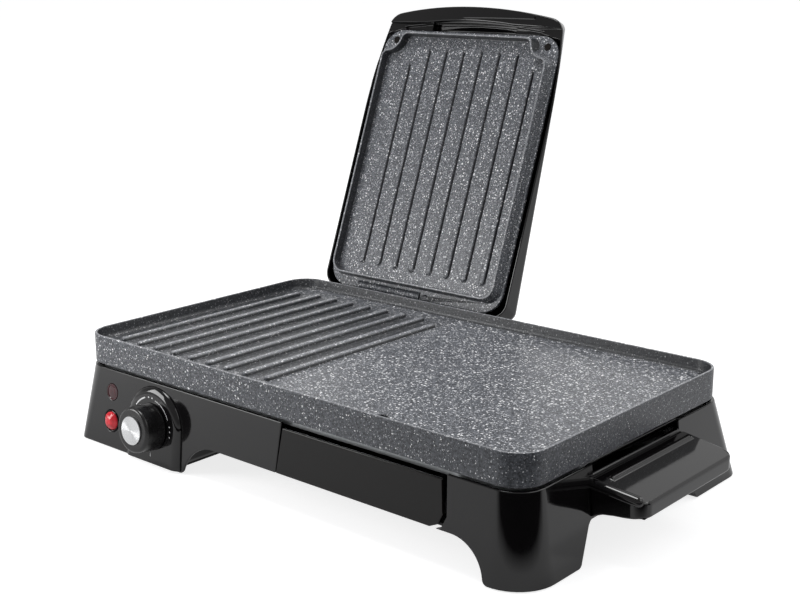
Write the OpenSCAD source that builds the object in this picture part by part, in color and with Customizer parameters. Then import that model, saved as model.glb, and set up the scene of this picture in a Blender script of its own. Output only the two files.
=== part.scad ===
/* [Lower plate] */
// Length of the lower plate, left to right
plate_l = 470; // [390:0.5:570]
// Width of the lower plate, front to back
plate_w = 273.8; // [226:0.1:330]
// Corner radius of the lower plate
plate_r = 24; // [18:0.5:32]
// Height of the lower plate's bottom edge above the table
plate_z = 72.5; // [70:0.5:90]
// Height of the lower plate casting
plate_h = 24.8; // [22:0.1:30]
// Thickness of the plate's standing rim
rim_w = 2.2; // [1.8:0.1:4]
// Depth of the cooking well below the rim
well_d = 10.5; // [9:0.5:12]
// Radius between the well's wall and its floor
well_r = 4; // [3:0.5:6]
// Thickness of the cooking floor
floor_t = 4; // [3:0.5:5]
// Distance between two ribs of the lower plate
rib_pitch = 22.06; // [16:0.01:24]
// Width of a rib
rib_w = 7; // [4:0.5:9]
// Height of the lower ribs above the floor
rib_h = 3.2; // [2:0.1:4.5]
// Number of ribs on the lower plate
rib_count = 9; // [4:1:9]
// Radius of the fat drain
drain_r = 4; // [3:0.5:5]

/* [Base housing] */
// Height of the housing's top edge
base_top = 70; // [66:0.5:72]
// Wall thickness of the housing
wall = 2.6; // [2:0.1:3.2]
// Height of the rubber pads below the housing
pad_h = 1; // [0.5:0.5:2]
// How far the front face leans out, from the top edge to the table
front_flare = 6.4; // [4:0.1:10]
// How far each end face leans out
end_flare = 8; // [4:0.1:12]
// How far the rear face leans out
rear_flare = 23; // [12:0.5:28]
// Height of the skirt's lower edge between the legs
skirt_z = 29; // [26:0.5:32]
// Height of the control compartment's lower edge
control_z = 10; // [8:0.5:14]
// Width of the control compartment, from the plate's left edge
control_w = 139; // [125:1:150]
// Radius of the arch beside the right legs
arch_r = 29; // [20:1:34]
// Distance of the right arch's centre from the plate's right edge
arch_in = 58; // [50:1:70]

/* [Handles] */
// Length of a side handle, front to back
handle_l = 132; // [100:1:150]
// How far a handle reaches past the plate's edge
handle_out = 46; // [38:1:52]
// Wall of the hollow handle
handle_wall = 3.5; // [2.5:0.5:5]
// Radius of a handle's outer corners
handle_r = 11; // [6:0.5:14]

/* [Drawer] */
// Width of the drip drawer's front at its top edge
drawer_w = 156; // [120:1:160]
// Depth of the drip tray, front to back
tray_d = 190; // [120:1:220]
// Wall of the drip tray
tray_wall = 2; // [1.5:0.1:2.5]
// Gap at the right side of the drawer's front
drawer_gap = 3; // [1:0.1:4]

/* [Controls] */
// Radius of the raised boss around the knob
boss_r = 30; // [26:0.5:32]
// Height of the raised boss
boss_h = 4.5; // [3:0.1:6]
// Diameter of the knob at its foot
knob_d = 40; // [32:0.5:46]
// Length of the knob
knob_h = 19; // [15:0.5:22]
// Diameter of the thermostat's shaft
shaft_d = 6; // [5:0.1:7]
// Radius of the dark upper lens
upper_lens_r = 7; // [5:0.5:8]
// Radius of the bright lower lens
lower_lens_r = 8.75; // [7:0.25:10]

/* [Lid] */
// How far the raised lid leans back from upright
lid_lean = 20.5; // [10:0.5:30]
// Height of the closed lid's rim above the lower ribs
lid_gap = 1; // [0.8:0.1:3]
// Distance of the lid's left rim from the lower plate's left edge
lid_side = 13; // [11:0.5:16]
// Distance of the lid's right rim from the middle of the lower plate
lid_mid = 17; // [14:0.5:20]
// Height of the lid plate's raised rim above its flange
lid_rim_h = 9; // [8.6:0.1:11]
// How far the lid's rim widens at each side, from its edge to the flange
lid_draft = 4.2; // [2:0.1:5]
// Thickness of the lid plate
lid_t = 3; // [2.5:0.1:4]
// Depth of the lid cover at the hinge end, above the flange
cover_rear_h = 25; // [22:0.5:32]
// Depth of the lid cover at the handle end, above the flange
cover_front_h = 17; // [15:0.5:22]
// Distance between two ribs of the lid plate
lid_rib_pitch = 21.84; // [16:0.01:23]
// Number of ribs on the lid plate
lid_rib_count = 8; // [4:1:8]
// Radius of a hinge pin
pin_r = 3; // [2.5:0.1:3.5]
// Radius of a hinge knuckle
knuckle_r = 6.5; // [5.5:0.1:7]
// Width of a hinge arm
arm_w = 24; // [16:1:30]

/* [Hidden] */
$fn = 64;
fit = 0.3;            // gap between pieces that seat without touching
run_fit = 0.05;       // radial clearance of a turning shaft
press = 0.02;         // radial clearance of a fixed pin or shaft

// lower plate
half_l = plate_l / 2;
half_w = plate_w / 2;
rim_z = plate_z + plate_h;
floor_z = rim_z - well_d;
floor_under = floor_z - floor_t;
rib_top = floor_z + rib_h;
rib_first = 22;                    // first rib's distance from the plate's left edge
rib_in = 24;                       // ribs' ends, from the plate's front and rear
well_draft = 1;                    // how far the well narrows down to its floor
drain = [90, -(half_w - 25)];

// housing outline, at the table and at the top edge
top_x = half_l + 0.3;
top_front = half_w + 0.3;
top_rear = half_w + 3.1;
foot_x = top_x + end_flare;
foot_front = top_front + front_flare;
foot_rear = top_rear + rear_flare;
// side in x, side in y, radius at the table
base_corners = [[-1, -1, 12], [1, -1, 33], [-1, 1, 20], [1, 1, 20]];
front_draft = atan(front_flare / base_top);
rear_draft = atan(rear_flare / base_top);

function at(z, low, high) = low + (high - low) * z / base_top;
function front_y(z) = -at(z, foot_front, top_front);
function rear_y(z) = at(z, foot_rear, top_rear);
function end_x(z) = at(z, foot_x, top_x);

// inside the housing
control_x = -half_l + control_w;   // right face of the control compartment's wall
left_arch = [control_x + 30, -8];
left_arch_r = skirt_z + 8;
right_arch_x = half_l - arch_in;
cover_t = 2;
foot_in = 26;
foot_round = 5;
pad_r = 8;
gland = [50 - half_l, 26];         // cord inlet in the rear face, x and z
foot_spots = [for (sx = [-1, 1], y = [-foot_front + foot_in, foot_rear - foot_in])
    [sx * (foot_x - foot_in), y]];
boss_spots = [for (sx = [-1, 1], sy = [-1, 1]) [sx * (half_l - 20), sy * (half_w - 45)]];
pan_z = base_top - 4;              // underside of the reflector pan
pan_t = 0.8;
cover_z = skirt_z + 2;             // underside of the middle bottom cover
boss_z = cover_z + cover_t + 4;
post_r = 5;
mid_posts = [[control_x + post_r - 1, -half_w + 27], [control_x + post_r - 1, half_w - 17],
    [-30, front_y(skirt_z) + wall + 4], [60, rear_y(skirt_z) - wall - 5],
    [right_arch_x - 13, rear_y(skirt_z) - wall - 5]];
control_posts = [[control_x - wall - post_r + 1, -half_w + 47],
    [control_x - wall - post_r + 1, half_w - 27], [-end_x(control_z) + wall + 4, 20]];

// handles
handle_front = -62;
handle_x = half_l + handle_out;
handle_low = 41;
handle_top = 61.5;
handle_edge = 53;
arm_low = 33;

// drawer, in the plane of the front face
drawer_left = 10.7;
drawer_top = base_top - 4.2;
drawer_low = skirt_z + 0.1;
drawer_t = 2.2;
tray_in = 9;
tray_low = cover_z + cover_t + 3;
tray_top = 62;
tray_x1 = drawer_left + tray_in;
tray_x2 = drawer_left + drawer_w - tray_in;
tray_back = front_y(tray_low) + tray_d;
runner_h = tray_low - cover_z - cover_t - fit;
drawer_start = front_y(tray_low) + 8;

// controls, as distances along the front face and out of it
knob_x = 97 - half_l;
knob_v = 34;
lamp_x = 39.2 - half_l;
upper_v = 50.7;
lower_v = 25.2;
bushing_r = 4.8;
nut_h = 2.5;
knob_w = boss_h + 0.8;             // where the knob's foot starts
knob_end = knob_w + knob_h;
cap_r = 12;
cap_h = 2.5;
cap_seat = 1;
hub_w = boss_h + 3.8;              // where the shaft's flat and the knob's hub start
shaft_r = shaft_d / 2;
shaft_back = 16;
shaft_end = knob_end - 4;
flat_depth = 0.8;
hub_r = 6.5;
inner_w = -wall * cos(front_draft) - 0.1;
stat_size = [40, 36, 16];
block_x = 30 - half_l;             // terminal block
block_y = half_w - 62;
riser_x = -half_l + 44;            // where the leads rise to the element
wire_r = 1.1;
stat_back = front_y(knob_v) - inner_w + stat_size[2] + 8.6;

// heating elements
tube_r = 3.25;
low_tube_z = floor_under - tube_r - fit;
low_runs = half_w - 47;            // outer runs' distance from the middle
low_bend = low_runs / 3;
low_end = half_l - 65;
pin_len = 16;

// hinge and lid, modelled closed and turned up about the hinge
hinge_y = half_w + 10.9;
lid_rim_z = rib_top + lid_gap;
hinge_z = lid_rim_z - 6.3;
open_angle = 90 + lid_lean;
lid_x1 = -half_l + lid_side;
lid_x2 = -lid_mid;
lid_x = (lid_x1 + lid_x2) / 2;
lid_half = (lid_x2 - lid_x1) / 2;
lid_w = half_w - 9.9;              // half width of the lid's rim, front to back
flange_z = lid_rim_z + lid_rim_h;
flange_half = lid_half + 6.1;
flange_rear = lid_w + 11.8;
flange_front = lid_w + 4;
lid_floor_z = lid_rim_z + lid_rim_h + 1;
lid_back_z = lid_floor_z + lid_t;
cover_half = lid_half + 13;
cover_rear = flange_rear + 2.8;
cover_front = lid_w + 28;
cover_wall = 1.9;
cover_bow_r = 650;
lip_y = half_w + 3.5;
chamber = flange_front - 2;        // front end of the heater's chamber
pocket_half = 52;
lip_r = 650;                       // bow of the grip's inner edge
shoulder_r = cover_front_h / 2 - 0.5;
shoulder_in = 22;                  // front shoulders' distance from the cover's sides
lid_screw_l = 8.5;
screw_z = flange_z + 10;
arm_top = flange_z + 20;
lid_bosses = [for (s = [-1, 1]) [s * (lid_half - 8.6), 6.6 - lid_w]];
lid_sink = 1.2;                    // depth of the screw heads' recess in the flange
tab_r = 22;                        // outer radius of the flange's corners
lid_rim_t = 2.2;                   // thickness of the lid plate's rim
notch_r = 15.5;                    // hollow of the rim beside a screw tab
lid_rib_first = 31.7;              // first rib's distance from the rim's left edge
lid_rib_in = 13.5;                 // ribs' ends, from the rim's front and rear
bar_x = [-68.5, 12.5];             // both ends of the bar near the hinge
bar_y = lid_w + 8.7;
bar_r = 5.1;
slot_x = [15.3, 22.3];             // both ends of the slot beside the bar
side_start = -45;                  // where the cover starts to narrow towards the grip
cover_corner = 16;
up_runs = lid_half - 40;
up_bend = up_runs / 3;
up_end = lid_w - up_bend - 14.4;
up_tube_z = lid_back_z + tube_r + fit;
arm_spots = [lid_x - 69.5, lid_x + 69.5];
arm_t = 12.5;
ear_w = 5;
ear_gap = 0.5;
ear_r = 7;

module rounded_rect(half_x, y1, y2, r) {
    hull_x = half_x - r;
    for (y = [y1 + r, y2 - r], x = [-hull_x, hull_x])
        translate([x, y]) circle(r);
    translate([-half_x, y1 + r]) square([2 * half_x, y2 - y1 - 2 * r]);
    translate([-hull_x, y1]) square([2 * hull_x, y2 - y1]);
}

module corner_disc(c, z, inset) {
    r = max(c[2] + (plate_r - c[2]) * z / base_top, inset + 2);
    y = c[1] < 0 ? front_y(z) : rear_y(z);
    translate([c[0] * (end_x(z) - r), y - c[1] * r, z])
        cylinder(r = r - inset, h = 0.01, $fn = 48);
}

// the housing's outer shape between two heights, made smaller by inset
module base_solid(inset, z1, z2) {
    hull() for (c = base_corners, z = [z1, z2 - 0.01]) corner_disc(c, z, inset);
}

// x along the front face, y up it, z out of it
module front_frame(x, v) {
    translate([x, front_y(v * cos(front_draft)), v * cos(front_draft)])
        rotate([90 - front_draft, 0, 0]) children();
}

module rear_frame(x, z) {
    translate([x, rear_y(z), z]) rotate([rear_draft - 90, 0, 0]) children();
}

// a shape drawn in Y and Z, as long as w along X
module along_x(x, w) {
    translate([x, 0, 0]) rotate([90, 0, 90]) linear_extrude(w) children();
}

// turns a piece of the closed lid up into its raised position
module raised() {
    translate([0, hinge_y, hinge_z]) rotate([-open_angle, 0, 0])
        translate([0, -hinge_y, -hinge_z]) children();
}

module screw(x, y, z, head_r, head_h, r, length) {
    translate([x, y, z - head_h]) cylinder(r = head_r, h = head_h);
    translate([x, y, z - 0.01]) cylinder(r = r, h = length);
}

// an opening above the table, with its feet rounded where they meet the ground
module round_feet() {
    offset(r = -foot_round) offset(r = foot_round) {
        children();
        translate([-half_l - 90, -20]) square([plate_l + 180, 20 + pad_h - 0.01]);
    }
}

module arch_outline() {
    round_feet() {
        translate([left_arch[0], -1]) square([right_arch_x - left_arch[0], skirt_z + 1]);
        translate(left_arch) circle(left_arch_r);
        translate([right_arch_x, 0]) circle(arch_r);
    }
}

module end_arch_outline() {
    round_feet() offset(r = 4) offset(r = -4)
        polygon([[-78.8, -1], [-64.9, 28], [-62, skirt_z + 2.2], [67, skirt_z + 2.2], [71, 28],
            [75, 17], [81, 8], [90, -1]]);
}

module drawer_outline(gap_left, gap_right, gap_low, extra_top) {
    x1 = drawer_left - gap_left;
    x2 = drawer_left + drawer_w + gap_right;
    v1 = drawer_low / cos(front_draft) - gap_low;
    v2 = (drawer_top + extra_top) / cos(front_draft);
    polygon([[x1 - 5, v1], [x2 - 9, v1], [x2 - 1.5, v1 + 3.5], [x2 + 2.5, v1 + 12],
        [x2, v2], [x1, v2]]);
}

module base_walls() {
    difference() {
        base_solid(0, pad_h, base_top);
        base_solid(wall, -1, base_top + 1);
    }
    // legs at the right, hollow from below
    difference() {
        intersection() {
            base_solid(0, pad_h, cover_z);
            union() {
                translate([right_arch_x - 6, -half_w - 20, 0]) cube([half_l, half_w - 40, 60]);
                translate([right_arch_x - 6, 64, 0]) cube([half_l, half_w + 40, 60]);
            }
        }
        intersection() {
            base_solid(wall, -1, cover_z + 1);
            union() {
                translate([half_l - 23, -half_w - 20, -2]) cube([60, half_w - 60, 60]);
                translate([half_l - 23, 98, -2]) cube([60, half_w, 60]);
            }
        }
    }
}

module base_posts() {
    foot_h = control_z - cover_t - pad_h;
    translate([control_x - wall, -half_w - 20, control_z])
        cube([wall, 2 * half_w + 60, pan_z - 1 - control_z]);
    for (p = foot_spots) {
        web = foot_in - 2;
        translate([p[0], p[1], pad_h]) cylinder(r = 11, h = foot_h);
        translate([p[0] + (sign(p[0]) < 0 ? -web : 0), p[1] - 2, pad_h]) cube([web, 4, foot_h]);
    }
    for (p = boss_spots) {
        web = top_x - abs(p[0]);
        translate([p[0], p[1], boss_z]) cylinder(r = 7, h = pan_z - boss_z);
        translate([p[0] + (sign(p[0]) < 0 ? -web : 0), p[1] - 1.5, boss_z])
            cube([web, 3, pan_z - boss_z]);
    }
    for (p = mid_posts)
        translate([p[0], p[1], cover_z + cover_t]) cylinder(r = post_r, h = 14);
    for (p = control_posts)
        translate([p[0], p[1], control_z]) cylinder(r = post_r, h = 14);
}

module base_housing() {
    color("#2b292a") difference() {
        union() {
            base_walls();
            intersection() {
                base_solid(1, pad_h, pan_z);
                base_posts();
            }
        }
        translate([0, 300, 0]) rotate([90, 0, 0]) linear_extrude(600) arch_outline();
        along_x(150, 150) end_arch_outline();
        along_x(-half_l - 60, control_w + 70)
            translate([-half_w + 42, -1]) square([2 * half_w - 100, control_z + 0.9]);
        front_frame(0, 0) translate([0, 0, -wall - 6])
            linear_extrude(wall + 20) drawer_outline(0.5, drawer_gap, 1, 12);
        front_frame(knob_x, knob_v) translate([0, 0, -8]) cylinder(r = bushing_r + fit, h = 20);
        front_frame(lamp_x, upper_v)
            translate([0, 0, -8]) cylinder(r = upper_lens_r + 0.15, h = 20);
        front_frame(lamp_x, lower_v) {
            translate([0, 0, -8]) cylinder(r = lower_lens_r - 0.4, h = 20);
            translate([0, 0, -1.4]) cylinder(r = lower_lens_r + 1, h = 20);
        }
        rear_frame(gland[0], gland[1]) translate([0, 0, -20]) cylinder(r = 6.15, h = 40);
        for (p = foot_spots)
            translate([p[0], p[1], pad_h - 1]) cylinder(r = pad_r + 0.15, h = 3.2);
        for (p = boss_spots)
            translate([p[0], p[1], 0]) cylinder(r = 2.2, h = 100);
        for (p = concat(mid_posts, control_posts))
            translate([p[0], p[1], 0]) cylinder(r = 1.6, h = cover_z + 14);
        for (s = [-1, 1])
            translate([s * top_x - 10, handle_front + 6, handle_top + 1])
                cube([20, handle_l - 12, 7]);
    }
}

module control_cover() {
    color("#1f1e1f") difference() {
        intersection() {
            base_solid(wall + fit, control_z - cover_t, control_z);
            translate([-400, -400, 0]) cube([400 + control_x - wall - 1.5, 800, 100]);
        }
        for (p = control_posts) translate([p[0], p[1], 0]) cylinder(r = 1.8, h = 40);
        for (y = [-60:12:60]) translate([-200, y, 0]) cube([50, 4, 40]);
    }
}

module bottom_cover() {
    color("#1f1e1f") difference() {
        intersection() {
            base_solid(wall + 0.6, cover_z, cover_z + cover_t);
            translate([control_x + fit, -400, 0]) cube([800, 800, 100]);
        }
        for (p = mid_posts) translate([p[0], p[1], 0]) cylinder(r = 1.8, h = 60);
        for (p = boss_spots) translate([p[0], p[1], 0]) cylinder(r = 4.6, h = 60);
        for (x = [-60:14:-18]) translate([x, -40, 0]) cube([5, 80, 60]);
    }
}

module rubber_feet() {
    color("#161616") for (p = foot_spots)
        translate([p[0], p[1], 0]) cylinder(r = pad_r, h = pad_h + 2.2);
}

module cover_screws() {
    color("#9a9a98") {
        for (p = mid_posts) screw(p[0], p[1], cover_z, 3.5, 2, 1.5, 13);
        for (p = control_posts) screw(p[0], p[1], control_z - cover_t, 3.5, 2, 1.5, 13);
    }
}

// one handle, drawn at the right end
module side_handle() {
    slope = (handle_top - handle_edge) / (handle_out + 5);
    difference() {
        union() {
            intersection() {
                translate([0, handle_front + handle_l, 0]) rotate([90, 0, 0])
                    linear_extrude(handle_l) polygon([[half_l - 6, handle_top],
                        [handle_x - 1, handle_edge], [handle_x, handle_edge - 1.5],
                        [handle_x, handle_low], [handle_x - 4, handle_low],
                        [handle_x - 16, handle_low - 1.9], [handle_x - 24, handle_low - 2.7],
                        [handle_x - 33, handle_low - 4.2], [handle_x - 38, handle_low - 6.4],
                        [handle_x - 42, arm_low - 1], [half_l - 6, arm_low - 3]]);
                translate([0, 0, arm_low - 10]) linear_extrude(60)
                    rounded_rect(handle_x, handle_front, handle_front + handle_l, handle_r);
            }
            // round bead along the top, beside the housing
            translate([half_l + 11, handle_front + 14, handle_top - 16 * slope])
                rotate([-90, 0, 0]) cylinder(r = 1.6, h = handle_l - 20);
        }
        // hollow from below, for the fingers
        translate([0, handle_front + handle_l - handle_wall - 2, 0]) rotate([90, 0, 0])
            linear_extrude(handle_l - 2 * handle_wall - 4) polygon([[half_l + 7, 10],
                [half_l + 7, handle_top - 12 * slope - handle_wall],
                [handle_x - handle_wall, handle_edge - handle_wall],
                [handle_x - handle_wall, 10]]);
        base_solid(-0.02, -1, base_top + 1);
    }
}

module right_handle() {
    color("#2b292a") side_handle();
}

module left_handle() {
    color("#2b292a") mirror([1, 0, 0]) side_handle();
}

// the well's outline at one height, as four thin corner discs
module well_level(z, inset) {
    r = plate_r - rim_w - inset;
    for (sx = [-1, 1], sy = [-1, 1])
        translate([sx * (half_l - plate_r), sy * (half_w - plate_r), z])
            cylinder(r = r, h = 0.01, $fn = 40);
}

module stadium(x, y1, y2, w) {
    translate([x - w / 2, y1 + w / 2]) square([w, y2 - y1 - w]);
    for (y = [y1 + w / 2, y2 - w / 2]) translate([x, y]) circle(w / 2);
}

module lower_plate() {
    color("#3d3b3c") difference() {
        union() {
            difference() {
                translate([0, 0, plate_z]) linear_extrude(plate_h)
                    rounded_rect(half_l, -half_w, half_w, plate_r);
                translate([0, 0, plate_z - 1]) linear_extrude(floor_under - plate_z + 1)
                    rounded_rect(half_l - 5, -half_w + 5, half_w - 5, plate_r - 5);
                hull() {
                    well_level(rim_z + 1, 0);
                    for (angle = [0:18:90])
                        well_level(floor_z + well_r * (1 - sin(angle)),
                            well_draft + well_r * (1 - cos(angle)));
                }
            }
            for (p = boss_spots) translate([p[0], p[1], pan_z + pan_t])
                cylinder(r = 6, h = floor_under - pan_z);
            translate([drain[0], drain[1], pan_z - 3])
                cylinder(r = drain_r + 2, h = floor_under - pan_z + 4);
            translate([0, 0, floor_z - 0.5]) linear_extrude(rib_h + 0.5)
                for (i = [0:rib_count - 1]) {
                    last = i == rib_count - 1;
                    stadium(-half_l + rib_first + i * rib_pitch,
                        rib_in - half_w + (last ? 3 : 0),
                        half_w - rib_in - (last ? 11 : i == 0 ? 6 : 0), rib_w);
                }
        }
        for (p = boss_spots) translate([p[0], p[1], pan_z]) cylinder(r = 1.6, h = 12);
        translate([drain[0], drain[1], pan_z - 4]) cylinder(r = drain_r, h = 60);
    }
}

module plate_screws() {
    color("#9a9a98") for (p = boss_spots)
        screw(p[0], p[1], boss_z, 4, 2.6, 1.5, pan_z + 10 - boss_z);
}

module reflector_pan() {
    edge_x = half_l - 7;
    edge_y = half_w - 7;
    color("#b9bcbe") difference() {
        translate([0, 0, pan_z]) linear_extrude(5)
            rounded_rect(edge_x, -edge_y, edge_y, plate_r - 7);
        translate([0, 0, pan_z + pan_t]) linear_extrude(10)
            rounded_rect(edge_x - pan_t, -edge_y + pan_t, edge_y - pan_t, plate_r - 7 - pan_t);
        for (p = boss_spots) translate([p[0], p[1], 0]) cylinder(r = 2.4, h = 100);
        translate([drain[0], drain[1], 0]) cylinder(r = drain_r + 3, h = 100);
        for (s = [-1, 1]) translate([riser_x, s * low_runs, 0]) cylinder(r = 4, h = 100);
    }
}

// a straight piece of tube from a to b
module rod(a, b, r) {
    d = b - a;
    translate(a) rotate([0, acos(d[2] / norm(d)), atan2(d[1], d[0])])
        cylinder(r = r, h = norm(d));
}

module bend(c, r, from, tube) {
    translate(c) rotate([0, 0, from]) rotate_extrude(angle = 180) translate([r, 0]) circle(tube);
}

// four runs along X joined by three bends, with a thin pin at each open end
module serpentine(end, runs, turn) {
    for (y = [-runs, -runs / 3, runs / 3, runs])
        rod([-end - 1, y, 0], [end + 1, y, 0], tube_r - 0.05);
    bend([end, -turn * 2, 0], turn, -90, tube_r);
    bend([end, turn * 2, 0], turn, -90, tube_r);
    bend([-end, 0, 0], turn, 90, tube_r);
    for (s = [-1, 1]) rod([-end - pin_len, s * runs, 0], [-end, s * runs, 0], 1.6);
}

module lower_element() {
    color("#8d8a86") translate([0, 0, low_tube_z]) serpentine(low_end, low_runs, low_bend);
}

// a strap under a tube that runs along X
module clamp(x, y, z, top) {
    difference() {
        translate([x - 6, y - 9, z - tube_r - 2.5]) cube([12, 18, top - z + tube_r + 2.5]);
        translate([x - 7, y, z]) rotate([0, 90, 0]) cylinder(r = tube_r + 0.1, h = 14);
        translate([x - 7, y - tube_r - 0.1, z]) cube([14, 2 * tube_r + 0.2, 20]);
    }
}

module lower_clamps() {
    color("#a9abab") for (x = [-110, 40, 150], s = [-1, 1])
        clamp(x, s * low_runs, low_tube_z, floor_under);
}

module boss_layer(r) {
    circle(r);
    translate([-r, 2.5 - knob_v]) square([2 * r, knob_v - 2.5]);
}

module control_bezel() {
    color("#242223") front_frame(knob_x, knob_v) translate([0, 0, 0.02]) difference() {
        union() {
            linear_extrude(boss_h * 0.3) boss_layer(boss_r + 4);
            linear_extrude(boss_h * 0.6) boss_layer(boss_r + 2.5);
            linear_extrude(boss_h * 0.85) boss_layer(boss_r + 0.8);
            linear_extrude(boss_h) boss_layer(boss_r - 0.8);
        }
        translate([0, 0, -1]) cylinder(r = bushing_r + fit, h = boss_h + 2);
    }
}

module thermostat() {
    color("#c8b89a") front_frame(knob_x, knob_v) difference() {
        union() {
            translate([-stat_size[0] / 2, -stat_size[1] / 2, inner_w - stat_size[2]])
                cube(stat_size);
            translate([0, 0, inner_w - 1]) cylinder(r = bushing_r, h = boss_h + nut_h + 0.9 - inner_w);
            for (x = [-12, 12]) translate([x - 3, -0.5, inner_w - stat_size[2] - 8])
                cube([6, 1, 9]);
        }
        translate([0, 0, -shaft_back - 1]) cylinder(r = shaft_r + run_fit, h = 60);
    }
}

module thermostat_nut() {
    color("#b8b6ae") front_frame(knob_x, knob_v) translate([0, 0, boss_h + 0.04]) difference() {
        cylinder(r = 8, h = nut_h, $fn = 6);
        translate([0, 0, -1]) cylinder(r = bushing_r + run_fit, h = nut_h + 2);
    }
}

module flatted(clearance) {
    difference() {
        circle(shaft_r + clearance);
        translate([shaft_r - flat_depth + clearance, -10]) square([10, 20]);
    }
}

module thermostat_shaft() {
    color("#b8b6ae") front_frame(knob_x, knob_v) {
        translate([0, 0, -shaft_back]) cylinder(r = shaft_r, h = shaft_back + hub_w);
        translate([0, 0, hub_w]) linear_extrude(shaft_end - hub_w) flatted(0);
    }
}

module knob() {
    color("#1d1c1d") front_frame(knob_x, knob_v) difference() {
        union() {
            difference() {
                translate([0, 0, knob_w]) cylinder(r1 = knob_d / 2, r2 = knob_d / 2 - 1, h = knob_h);
                translate([0, 0, knob_w - 1]) cylinder(r = knob_d / 2 - 3.5, h = knob_h - 2);
            }
            translate([0, 0, hub_w + 0.3]) cylinder(r = hub_r, h = knob_end - 2.5 - hub_w);
        }
        translate([0, 0, hub_w]) linear_extrude(shaft_end + 0.4 - hub_w) flatted(press);
        translate([0, 0, knob_end - cap_seat]) cylinder(r = cap_r + press, h = 5);
    }
}

module knob_cap() {
    color("#c9c9c9") front_frame(knob_x, knob_v)
        translate([0, 0, knob_end - cap_seat]) cylinder(r = cap_r, h = cap_h);
}

module upper_lens() {
    color("#5a1216") front_frame(lamp_x, upper_v)
        translate([0, 0, -10]) cylinder(r = upper_lens_r, h = 10.3);
}

module lower_lens() {
    dome_h = 4;
    dome_r = (pow(lower_lens_r, 2) + pow(dome_h, 2)) / (2 * dome_h);
    color("#e01b1f") front_frame(lamp_x, lower_v) {
        translate([0, 0, -10]) cylinder(r = lower_lens_r - 0.55, h = 9);
        translate([0, 0, -1.4]) cylinder(r = lower_lens_r, h = 2.4);
        intersection() {
            translate([0, 0, 1 + dome_h - dome_r]) sphere(dome_r);
            translate([0, 0, 0.9]) cylinder(r = lower_lens_r, h = 20);
        }
    }
}

module neon_lamps() {
    color("#e8c9a0") for (v = [upper_v, lower_v]) front_frame(lamp_x, v) {
        translate([0, 0, -25]) cylinder(r = 3, h = 14.7);
        translate([0, 0, -25]) sphere(3);
    }
}

module terminal_block() {
    color("#e4e0d6") translate([block_x, block_y, control_z]) difference() {
        cube([40, 18, 16]);
        for (x = [8, 20, 32]) translate([x, -1, 8]) rotate([-90, 0, 0]) cylinder(r = 2, h = 30);
    }
}

module wire(points) {
    for (i = [0:len(points) - 2]) rod(points[i], points[i + 1], wire_r, $fn = 10);
    for (i = [1:len(points) - 2]) translate(points[i]) sphere(wire_r, $fn = 10);
}

module internal_wires() {
    block_top = control_z + 16;
    stat_z = knob_v - 2;
    color("#b0282a") {
        wire([[block_x + 8, block_y - 2, control_z + 8], [block_x + 8, 77 - half_w, control_z + 8],
            [knob_x - 12, 42 - half_w, stat_z], [knob_x - 12, stat_back, stat_z]]);
        wire([[knob_x + 12, stat_back, stat_z], [knob_x + 12, 45 - half_w, stat_z + 4],
            [riser_x, -low_runs + 6, stat_z + 12], [riser_x, -low_runs, pan_z - 6],
            [riser_x, -low_runs, low_tube_z]]);
        wire([[block_x + 20, block_y + 9, block_top + 0.2], [block_x + 20, block_y + 9, block_top + 8],
            [riser_x, low_runs, pan_z - 8], [riser_x, low_runs, low_tube_z]]);
    }
}

module cord_gland() {
    color("#1a1919") rear_frame(gland[0], gland[1]) difference() {
        union() {
            translate([0, 0, 0.05]) cylinder(r = 9, h = 3);
            translate([0, 0, -9]) cylinder(r = 6, h = 10);
        }
        translate([0, 0, -10]) cylinder(r = 3.6, h = 20);
    }
}

module drawer_front() {
    color("#2b292a") front_frame(0, 0) translate([0, 0, -drawer_t])
        linear_extrude(drawer_t) drawer_outline(0, 0, 0, 0);
}

module drip_tray() {
    w = tray_x2 - tray_x1;
    front = front_y(0);
    color("#4b4a4b") difference() {
        translate([tray_x1, front, tray_low]) cube([w, tray_back - front, tray_top - tray_low]);
        translate([tray_x1 + tray_wall, front + 10, tray_low + tray_wall])
            cube([w - 2 * tray_wall, tray_back - front - 10 - tray_wall, 60]);
        front_frame(0, 0) translate([-500, -100, -drawer_t - 0.02]) cube([1000, 300, 50]);
    }
}

module drawer_runners() {
    profile_h = runner_h + 8;
    length = tray_back - drawer_start + 4;
    color("#a9abab") for (s = [0, 1])
        translate([s == 0 ? tray_x1 - fit : tray_x2 + fit, drawer_start, cover_z + cover_t])
            mirror([s, 0, 0]) {
                translate([-2, 0, 0]) cube([2, length, profile_h]);
                translate([-2, 0, 0]) cube([9, length, runner_h]);
                translate([-2, length - 2, 0]) cube([9, 2, profile_h]);
            }
}

module ear_outline() {
    difference() {
        union() {
            translate([hinge_y, hinge_z]) circle(ear_r);
            polygon([[hinge_y - ear_r, hinge_z], [hinge_y + ear_r, hinge_z],
                [hinge_y + 20, hinge_z - 13], [hinge_y + 20, hinge_z - 21],
                [hinge_y + 6, hinge_z - 44], [hinge_y - ear_r - 8, hinge_z - 44],
                [hinge_y - ear_r - 8, hinge_z - 20], [hinge_y - ear_r, hinge_z - 18]]);
        }
        translate([hinge_y, hinge_z]) circle(pin_r + press);
    }
}

module hinge_brackets() {
    half = arm_w / 2 + ear_gap;
    color("#2b292a") difference() {
        for (x = arm_spots) {
            along_x(x - half - ear_w, ear_w) ear_outline();
            along_x(x + half, ear_w) ear_outline();
            // base between the ears, and the stop that the raised lid leans on
            along_x(x - half, 2 * half) translate([hinge_y - 15, hinge_z - 42]) square([24, 16]);
            raised() translate([x - half, cover_rear + arm_t + fit, hinge_z + 8])
                cube([2 * half, 4, 10]);
        }
        base_solid(-0.02, -1, base_top + 0.1);
    }
}

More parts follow.
